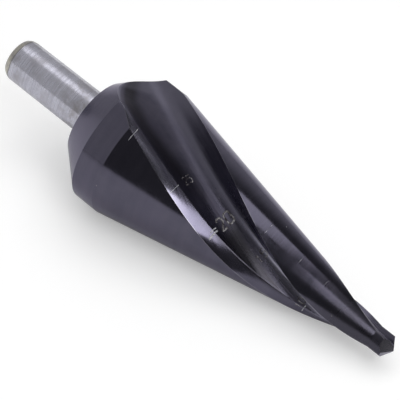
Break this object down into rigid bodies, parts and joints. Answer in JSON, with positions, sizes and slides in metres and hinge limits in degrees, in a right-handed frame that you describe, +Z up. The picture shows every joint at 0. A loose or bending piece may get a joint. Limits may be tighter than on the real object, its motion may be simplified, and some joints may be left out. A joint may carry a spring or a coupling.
{
  "type": "cone drill",
  "caption": "Smooth conical sheet-metal drill with helical flutes, a ground point and a flatted shank, lying on a flute.",
  "frame": {"origin": "on the table, at the middle of the drill's bounding box seen from above", "axes": "+Z up, +X along the drill toward its point, as it lies at rest"},
  "size_m": [0.1028, 0.031, 0.0292],
  "materials": {
    "cone_drill": "high-speed steel, head dark and glossy under a hard nitride coating, shank bright ground"
  },
  "bodies": {
    "root": {"cone_drill": "cone_drill"}
  },
  "joints": []
}
